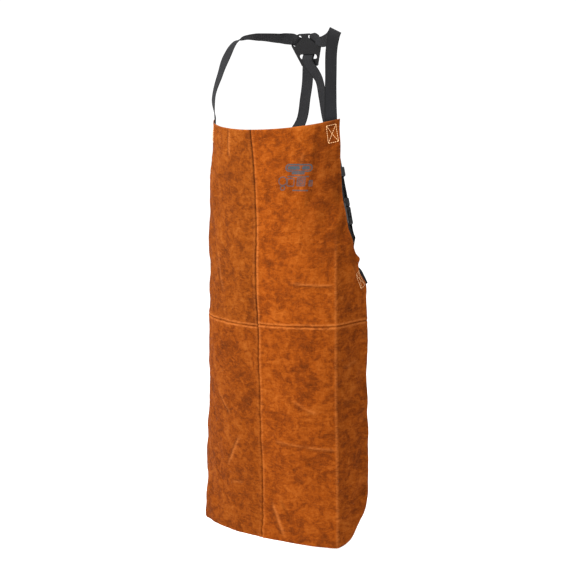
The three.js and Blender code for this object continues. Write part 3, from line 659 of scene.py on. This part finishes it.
WEBBING = webbing_material()
SEAM_THREAD = thread_material("seam_thread", srgb(226, 180, 128), srgb(184, 128, 78))
PALE_THREAD = thread_material("pale_thread", srgb(236, 234, 228), srgb(190, 188, 182))
PLATE_SKIN = moulded_material("plate", srgb(8, 8, 9), srgb(17, 16, 18), 0.66, 0.22, 1400.0)
BUCKLE_SKIN = moulded_material("buckle_plastic", srgb(7, 7, 8), srgb(17, 17, 18), 0.42, 0.35, 1800.0)


# ---- leather ----
PANELS = {}
for side, name in SIDES:
    waist = WAIST[side]
    PANELS[f"upper_{name}"] = leather_panel(side, f"upper_{name}_leather", 0.0, waist, False)
    PANELS[f"lower_{name}"] = leather_panel(side, f"lower_{name}_leather", waist, APRON_LENGTH, True)
for key, obj in PANELS.items():
    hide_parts(f"{key}_panel")
    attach(obj, "apron")


for side, name in SIDES:
    waist = WAIST[side]


# ---- webbing paths ----
def catmull(points, t):
    """Point on a centripetal Catmull-Rom curve, t from 0 to 1 over the whole curve."""
    count = len(points)
    p = (count - 1) * t
    i = min(int(p), count - 2)
    w = p - i
    p1, p2 = points[i], points[i + 1]
    p0 = points[i - 1] if i > 0 else 2 * points[0] - points[1]
    p3 = points[i + 2] if i + 2 < count else 2 * points[-1] - points[-2]
    d0 = max(np.linalg.norm(p1 - p0) ** 0.5, 1e-4)
    d1 = max(np.linalg.norm(p2 - p1) ** 0.5, 1e-4)
    d2 = max(np.linalg.norm(p3 - p2) ** 0.5, 1e-4)
    t1 = ((p1 - p0) / d0 - (p2 - p0) / (d0 + d1) + (p2 - p1) / d1) * d1
    t2 = ((p2 - p1) / d1 - (p3 - p1) / (d1 + d2) + (p3 - p2) / d2) * d1
    a = 2 * p1 - 2 * p2 + t1 + t2
    b = -3 * p1 + 3 * p2 - 2 * t1 - t2
    return ((a * w + b) * w + t1) * w + p1


def curve_frames(pairs, spacing):
    """(at, out) along a smooth curve through pairs of (point, outward direction)."""
    points = [np.asarray(p, float) for p, _ in pairs]
    last = len(points) - 1
    frames = []
    for k in range(last):
        count = math.ceil(np.linalg.norm(points[k + 1] - points[k]) / spacing)
        for j in range(count + (1 if k + 1 == last else 0)):
            w = j / count
            out_a, out_b = (np.asarray(pairs[i][1], float) for i in (k, k + 1))
            out = lerp(out_a, out_b, w * w * (3 - 2 * w))
            frames.append((catmull(points, (k + w) / last), out))
    return frames


def hip_basis(side):
    """The hip hardware's own axes, across, out and along the strap, and their origin."""
    turn = np.array([side, 1, 1])
    along = unit(STRAP_LINE) * turn
    rough = STRAP_OUT * turn
    out = unit(rough - along * rough.dot(along))
    return np.cross(out, along), out, along, BUCKLE_AT * turn


def in_hip(side, x, y, z):
    across, out, along, at = hip_basis(side)
    return at + across * x + out * y + along * z


def wrap_frames(side, bar_y, bar_z, start, end, count=12):
    """Round a bar, in the hip hardware's axes, by angle from the outer face."""
    _, out, along, _ = hip_basis(side)
    frames = []
    for i in range(count + 1):
        angle = math.radians(lerp(start, end, i / count))
        y, z = math.cos(angle), math.sin(angle)
        frames.append((in_hip(side, 0, bar_y + WRAP_R * y, bar_z + WRAP_R * z), out * y + along * z))
    return frames


def ribbon(name, frames, seed, ripple=0.0):
    """Webbing with rounded selvages along frames of (middle, outward direction)."""
    at = np.array([f[0] for f in frames])
    hint = np.array([f[1] for f in frames])
    steps = np.linalg.norm(np.diff(at, axis=0), axis=1)
    keep = np.concatenate([[True], steps > 0.05])
    at, hint = at[keep], hint[keep]
    along = unit(np.gradient(at, axis=0))
    across = unit(np.cross(hint, along))
    up = unit(np.cross(along, across))
    way = np.concatenate([[0], np.cumsum(np.linalg.norm(np.diff(at, axis=0), axis=1))])
    w, t = WEB / 2, WEB_LOOK_T / 2
    ring = [(-w + 1.0, t), (-w + 2.2, t * 0.86), (-w / 2, t * 0.9), (0, t * 0.92), (w / 2, t * 0.9)]
    ring += [(w - 2.2, t * 0.86), (w - 1.0, t), (w - 0.25, t * 0.72), (w, 0), (w - 0.25, -t * 0.72)]
    ring += [(w - 1.0, -t), (w - 2.2, -t * 0.86), (w / 2, -t * 0.9), (0, -t * 0.92), (-w / 2, -t * 0.9)]
    ring += [(-w + 2.2, -t * 0.86), (-w + 1.0, -t), (-w + 0.25, -t * 0.72), (-w, 0), (-w + 0.25, t * 0.72)]
    rng = np.random.default_rng(seed)
    phase = rng.uniform(0, 6.28, 2)
    wave = ripple * (np.sin(way / 31 + phase[0]) + 0.6 * np.sin(way / 13.7 + phase[1]))
    points, uvs = [], []
    for x, y in ring:
        bend = wave * (x / w)
        points.append(at + across * x + up * (y + bend)[:, None])
        uvs.append(np.stack([np.full(len(way), x + (LOWER_U if y < 0 else 0)), way], -1))
    rows, cols = len(ring), len(way)
    faces = grid_faces(rows, cols, closed_rows=True)
    faces.append(tuple(r * cols for r in range(rows)))
    faces.append(tuple(r * cols + cols - 1 for r in reversed(range(rows))))
    obj = new_object(name, np.concatenate(points), faces, np.concatenate(uvs), (WEBBING,))
    return obj


PLATE_UP = np.array([0, -math.sin(PLATE_LEAN), math.cos(PLATE_LEAN)])
PLATE_REAR = np.array([0, math.cos(PLATE_LEAN), math.sin(PLATE_LEAN)])
# The left strap's middle line on the plate, across and up from the plate's centre.
PLATE_PATH = (
    (29.5, 23.1), (24.75, 17.6), (16.9, 8.5), (9, 0), (3.2, -6), (1.2, -12),
    (1, -17), (1, -22), (1, -27), (1, -32), (-1, -38), (-5, -46),
)


def plate_crossing(side, layer):
    """Through the upper slot, down behind the plate and through the lower slot."""
    face = PLATE_T / 2 + 2 * GAP + WEB_T / 2
    rear, above = face + layer, -face
    below = -face - STRAP_LAYER + layer
    upper_mid, upper_reach = 18.3 - 0.7 - layer * 0.3, 3.6 + layer * 0.35
    lower_mid, lower_reach = -22 + 0.5 - layer * 0.42, 5.5
    points = [np.array([side * a, b, 0.0]) for a, b in PLATE_PATH]
    fine = np.array([catmull(points, t) for t in np.linspace(0, 1, 400)])
    way = np.concatenate([[0], np.cumsum(np.linalg.norm(np.diff(fine, axis=0), axis=1))])
    pairs = []
    for target in np.linspace(0, way[-1], 33):
        a = np.interp(target, way, fine[:, 0])
        b = np.interp(target, way, fine[:, 1])
        if b > 0:
            m = lerp(rear, above, smooth(upper_mid - upper_reach, upper_mid + upper_reach, b))
        else:
            m = lerp(below, rear, smooth(lower_mid - lower_reach, lower_mid + lower_reach, b))
        pairs.append((PLATE_CENTRE + PLATE_UP * b + PLATE_REAR * m + np.array([a, 0, 0]), PLATE_REAR))
    return pairs


# Each strap's way as (point, outward direction), by the side of the bib that it starts from.
OVER_SHOULDER = {
    1: (
        ((167, -74, -168), (0.78, -0.62, 0)),
        ((161, -63, -115), (0.85, -0.52, 0.05)),
        ((150, -43, -53), (0.82, -0.45, 0.35)),
        ((143, -20, -13), (0.6, -0.2, 0.8)),
        ((132, 6, -1), (0.44, 0.1, 0.9)),
        ((104, 36, -12), (0.36, 0.4, 0.85)),
        ((66, 60, -21), (0.24, 0.62, 0.6)),
        ((50, 71, -19), (0.1, 0.85, 0.4)),
    ),
    -1: (
        ((-172, -66, -155), (-0.6, -0.8, 0)),
        ((-167, -45, -98), (-0.42, -0.9, 0.1)),
        ((-160, -26, -53), (-0.2, -0.85, 0.4)),
        ((-151, -3, -18), (-0.2, -0.5, 0.8)),
        ((-135, 14, -7), (-0.3, 0.1, 0.95)),
        ((-103, 35, -5), (-0.36, 0.4, 0.85)),
        ((-64, 60, -8), (-0.24, 0.62, 0.6)),
        ((-48, 70, -9), (-0.1, 0.85, 0.4)),
    ),
}
DOWN_BACK = {
    1: (
        ((-13, 114, -112), (-0.1, 1, 0.15)),
        ((-21, 117, -152), (-0.05, 1, 0)),
        ((-34, 120, -208), (-0.05, 1, 0)),
    ),
    -1: (
        ((26, 104, -107), (0.31, 0.95, 0.1)),
        ((33, 111, -150), (0.31, 0.95, 0)),
        ((42, 118, -210), (0.31, 0.95, 0)),
    ),
}


def shoulder_strap(side, name, layer):
    """From the bib's corner over the shoulder, through the plate, to the other hip's buckle."""
    s = side * BIB_STRAP_S
    depth = LEATHER + GAP + WEB_T / 2 + SEWN_CLEARANCE[side]

    def sewn(h):
        at = sheet_point(np.array([s]), np.array([float(h)]), np.array([depth]))[0]
        return at, sheet_normal(np.array([s]), np.array([float(h)]))[0]

    out = hip_basis(-side)[1]
    pairs = [sewn(BIB_STRAP_SEWN), sewn(BIB_STRAP_SEWN / 2), sewn(0), sewn(-10)]
    pairs += list(OVER_SHOULDER[side]) + plate_crossing(side, layer) + list(DOWN_BACK[side])
    on_line = (LINE_TOP + 20, LINE_TOP, 140, MALE_BAR + 4, MALE_BAR + 1)
    pairs += [(in_hip(-side, 0, 0, z), out) for z in on_line]
    run = curve_frames(pairs, 4.0)
    run += wrap_frames(-side, MID_Y, MALE_BAR, 0, -180)[1:]
    run.append((in_hip(-side, 0, 2 * MID_Y, MALE_BAR + 6), -out))
    return ribbon(f"{name}_webbing", run, ripple=0.35, seed=20 + side)


for side, name in SIDES:
    strap = shoulder_strap(side, name, STRAP_LAYER if side > 0 else 0.0)
    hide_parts(f"{name}_shoulder_strap")
    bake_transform(strap)


# Places on the sheet where the hip strap is sewn, and where its box of stitches shows.
HIP_SEAT = {"s": 291.5, "h": 363.0, "slope": math.radians(16), "length": 44.0}
HIP_BOX = {"s": 278.5, "h": 368.5, "slope": math.radians(24)}


def hip_point(place, u, v):
    """A point of a place on the sheet at the hip: v up, u outwards across it."""
    slope = place["slope"]
    s = place["s"] - math.sin(slope) * v + math.cos(slope) * u
    return s, place["h"] - math.cos(slope) * v - math.sin(slope) * u


def hip_strap(side, name):
    """From under the leather, tilted so that one selvage shows, to the female buckle and back."""
    out = hip_basis(side)[1]
    depth = LEATHER + GAP + WEB_T / 2 + HIP_CLEARANCE

    def seat(v, extra, tilt):
        s, h = hip_point(HIP_SEAT, 0.0, v)
        s, h = np.array([side * s]), np.array([h])
        normal = sheet_normal(s, h)[0]
        outwards = side * np.array([-normal[1], normal[0], 0])
        turn = math.radians(tilt)
        leaning = normal * math.cos(turn) - outwards * math.sin(turn)
        return sheet_point(s, h, np.array([depth + extra]))[0], leaning

    half = HIP_SEAT["length"] / 2
    pairs = [seat(-half, 0.0, 50), seat(0, 0.5, 36), seat(half, 10.0, 12)]
    pairs += [(in_hip(side, 0, y, z), out) for y, z in ((3, -42), (0, -20), (0, -4), (0, -1))]
    run = curve_frames(pairs, 4.0)
    run += wrap_frames(side, MID_Y, 0, 0, 180)[1:]
    for y, z in ((2 * MID_Y, -2), (MID_Y * 1.3, -12), (-WEB_T - GAP, -22), (-WEB_T - GAP, -36)):
        run.append((in_hip(side, 0, y, z), -out))
    return ribbon(f"{name}_hip_webbing", run, seed=30 + side)


for side, name in SIDES:
    strap = hip_strap(side, name)
    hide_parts(f"{name}_hip_strap")
    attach(strap, "apron")


def doubled_end(side, name):
    """The strap's free length, from the male buckle's bar to the slider's and round it."""
    out = hip_basis(side)[1]
    inner = SLIDER_BAR_Y - WRAP_R
    legs = ((2 * MID_Y, MALE_BAR + 6.5), (-6.4, 88), (DOUBLED_Y, 106), (-8.6, 121), (inner, 129))
    run = curve_frames([(in_hip(side, 0, y, z), -out) for y, z in legs], 4.0)
    run += wrap_frames(side, SLIDER_BAR_Y, SLIDER_Z, 180, 0)[1:]
    legs = ((SLIDER_BAR_Y + WRAP_R, 129), (-3.5, 116), (-3.6, 98))
    run += curve_frames([(in_hip(side, 0, y, z), out) for y, z in legs], 4.0)
    return ribbon(f"{name}_doubled_webbing", run, seed=40 + side)


for side, name in SIDES:
    strap = doubled_end(side, name)
    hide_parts(f"{name}_doubled_end")
    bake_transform(strap)


# ---- stitches ----
STITCH_PROFILE = (  # share of the stitch's length, rise and thickness in radii
    (0.02, -0.5, 0.45), (0.14, 0.35, 0.85), (0.5, 0.75, 1.0), (0.86, 0.35, 0.85), (0.98, -0.5, 0.45),
)
STITCH_SINK = 0.35  # how deep a stitch is pulled in, in radii


def stitch_run(path, normal, length, gap, radius):
    """Points and faces of single stitches along a path of points with normals."""
    path, normal = np.asarray(path, float), np.asarray(normal, float)
    way = np.concatenate([[0], np.cumsum(np.linalg.norm(np.diff(path, axis=0), axis=1))])
    count = max(1, int(round(way[-1] / (length + gap))))
    pitch = way[-1] / count
    stitch = pitch - gap

    def along_path(values, d):
        return np.array([np.interp(d, way, values[:, i]) for i in range(3)])

    sides, last = 6, len(STITCH_PROFILE) - 1
    points, faces = [], []
    for k in range(count):
        base = len(points)
        begin = k * pitch + gap / 2
        forward = along_path(path, begin + stitch) - along_path(path, begin)
        for share, rise, thick in STITCH_PROFILE:
            at = along_path(path, begin + stitch * share)
            up = unit(along_path(normal, begin + stitch * share))
            side = unit(np.cross(up, forward))
            middle = at + up * (radius * rise - STITCH_SINK * radius)
            for corner in range(sides):
                angle = corner * math.pi / 3
                around = math.cos(angle) * side + math.sin(angle) * up
                points.append(middle + thick * radius * around)
        for r in range(last):
            for c in range(sides):
                a = base + r * sides + c
                b = base + r * sides + (c + 1) % sides
                faces.append((a, b, b + sides, a + sides))
        faces.append(tuple(base + c for c in reversed(range(sides))))
        faces.append(tuple(base + last * sides + c for c in range(sides)))
    return points, faces


def stitches(name, node, runs, material, slot, length=4.6, gap=0.4, radius=0.6):
    """One piece of thread for all the runs, in the place of a CAD node."""
    points, faces = [], []
    for path, normal in runs:
        p, f = stitch_run(path, normal, length, gap, radius)
        faces += [tuple(i + len(points) for i in face) for face in f]
        points += p
    obj = new_object(name, points, faces, None, (material,))
    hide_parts(node)
    return obj


def on_skin(side, ends):
    """A straight run between two (s, h) points, just proud of the leather's outer face."""
    (s0, h0), (s1, h1) = ends
    t = np.linspace(0, 1, 14)
    proud = np.full(len(t), 0.1)
    s, h = side * lerp(s0, s1, t), lerp(h0, h1, t)
    return skin_point(s, h, -proud), sheet_normal(s, h)


def box_runs(side, corners):
    """The four sides of a box and its two diagonals."""
    a, b, c, d = corners
    return [on_skin(side, line) for line in ((a, b), (b, c), (c, d), (d, a), (a, c), (b, d))]


BIB_BOX = ((178, 10), (201, 10), (206, 50), (183, 50))  # corners (s, h)
HIP_BOX_CORNERS = ((-8, 18), (8, 18), (8, -18), (-8, -18))  # (u, v) at HIP_BOX
for side, name in SIDES:
    corners = [hip_point(HIP_BOX, u, v) for u, v in HIP_BOX_CORNERS]
    for place, box in (("bib", BIB_BOX), ("hip", corners)):
        runs = box_runs(side, box)
        thread = stitches(
            f"{name}_{place}_stitches", f"{name}_{place}_stitching", runs, SEAM_THREAD, "seam_thread"
        )
        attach(thread, "apron")

# The seams' stitches lie on the turned-in allowances, inside the apron.
ALLOWANCE_DEPTH = SKIN_T + 2 * ROLL_R + 0.1
SEAM_STITCH = {"length": 4.2, "gap": 1.0, "radius": 0.45}


def on_allowance(s, h):
    return skin_point(s, h, np.full(len(s), ALLOWANCE_DEPTH)), -sheet_normal(s, h)


def seam_stitches(name, node, runs):
    thread = stitches(name, node, runs, SEAM_THREAD, "seam_thread", **SEAM_STITCH)
    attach(thread, "apron")


down = np.linspace(3, APRON_LENGTH - 3, 240)
runs = [on_allowance(np.full(len(down), offset), down) for offset in STITCH_OFFSETS]
seam_stitches("centre_seam_stitches", "centre_seam", runs)
for side, name in SIDES:
    across = side * np.linspace(3, SKIRT_HALF - 3, 120)
    runs = [on_allowance(across, np.full(len(across), WAIST[side] + offset)) for offset in STITCH_OFFSETS]
    seam_stitches(f"{name}_waist_stitches", f"{name}_waist_seam", runs)


TACK_HALF, TACK_HEIGHT, TACK_LEGS = 11.5, 1.2, 24  # half length, half height and zigzags


def bartack(side, name, node, y, z):
    """A dense zigzag of thread across the webbing, on the face that y is on."""
    out = hip_basis(side)[1] * (1 if y > 0 else -1)
    path = []
    for k in range(TACK_LEGS + 1):
        x = lerp(-TACK_HALF, TACK_HALF, k / TACK_LEGS)
        path.append(in_hip(side, x, y, z + (TACK_HEIGHT if k % 2 else -TACK_HEIGHT)))
    legs = [([a, b], [out, out]) for a, b in zip(path, path[1:])]
    return stitches(name, node, legs, PALE_THREAD, "pale_thread", length=9.0, gap=0.0, radius=0.42)


on_face = WEB_T / 2 + 0.1
for side, name in SIDES:
    tack = bartack(side, f"{name}_loop_tack", f"{name}_loop_bartack", on_face, LOOP_TACK_Z)
    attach(tack, "apron")
    tack = bartack(side, f"{name}_end_tack", f"{name}_end_bartack", DOUBLED_Y - on_face, END_TACK_Z)
    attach(tack, f"{name}_adjuster")


# ---- hard pieces: the CAD solids, with softened edges and moulded plastic ----
def dress(node, material, bevel):
    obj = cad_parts[node]
    obj.data.materials.clear()
    obj.data.materials.append(material)
    rounding = obj.modifiers.new("rounding", "BEVEL")
    rounding.width = bevel * MM
    rounding.segments = 2
    rounding.limit_method = "ANGLE"
    rounding.angle_limit = math.radians(28)


for _, name in SIDES:
    for piece in ("female_buckle", "male_buckle", "outer_arm", "inner_arm", "slider"):
        dress(f"{name}_{piece}", BUCKLE_SKIN, 0.25)
dress("cross_plate", PLATE_SKIN, 0.3)


# ---- camera, floor and light ----
CAMERA_AT = Vector((1.50065, -2.30634, -0.232))
FORWARD = Vector((-0.539272, 0.830407, -0.140035))
UP = Vector((-0.076269, 0.117443, 0.990147))
camera = bpy.data.objects.new("camera", bpy.data.cameras.new("camera"))
camera.data.sensor_width = 36.0
camera.data.lens = 70.0
camera.data.clip_start, camera.data.clip_end = 0.05, 60.0
right = FORWARD.cross(UP).normalized()
turned = Matrix((right, UP, -FORWARD)).transposed()
camera.matrix_world = Matrix.Translation(CAMERA_AT) @ turned.to_4x4()
bpy.context.scene.collection.objects.link(camera)
bpy.context.scene.camera = camera

FLOOR_Z, FLOOR_HALF = -1450.0, 20000.0
floor_material = bpy.data.materials.new("floor")
floor_material.use_nodes = True
floor_shader = floor_material.node_tree.nodes["Principled BSDF"]
floor_shader.inputs["Base Color"].default_value = (1, 1, 1, 1)
floor_shader.inputs["Emission Color"].default_value = (1, 1, 1, 1)
floor_shader.inputs["Emission Strength"].default_value = 0.12
floor_shader.inputs["Roughness"].default_value = 0.9
floor_corners = [(x * FLOOR_HALF, y * FLOOR_HALF, FLOOR_Z) for x, y in ((-1, -1), (1, -1), (1, 1), (-1, 1))]
floor = new_object("floor", floor_corners, [(0, 1, 2, 3)], None, (floor_material,))

world = bpy.data.worlds.new("studio")
world.use_nodes = True
sky = world.node_tree.nodes["Background"]
sky.inputs["Color"].default_value = (1, 1, 1, 1)
sky.inputs["Strength"].default_value = 1.08
bpy.context.scene.world = world
bpy.context.scene.view_settings.view_transform = "Standard"


def area_light(name, at, target, power, size):
    light = bpy.data.lights.new(name, "AREA")
    light.shape = "RECTANGLE"
    light.size, light.size_y = size
    light.energy = power
    obj = bpy.data.objects.new(name, light)
    obj.location = at
    obj.rotation_mode = "QUATERNION"
    obj.rotation_quaternion = (Vector(target) - Vector(at)).to_track_quat("-Z", "Y")
    bpy.context.scene.collection.objects.link(obj)


area_light("key", (-0.75, -2.7, 1.45), (0, -0.1, -0.5), 205, (0.8, 0.8))
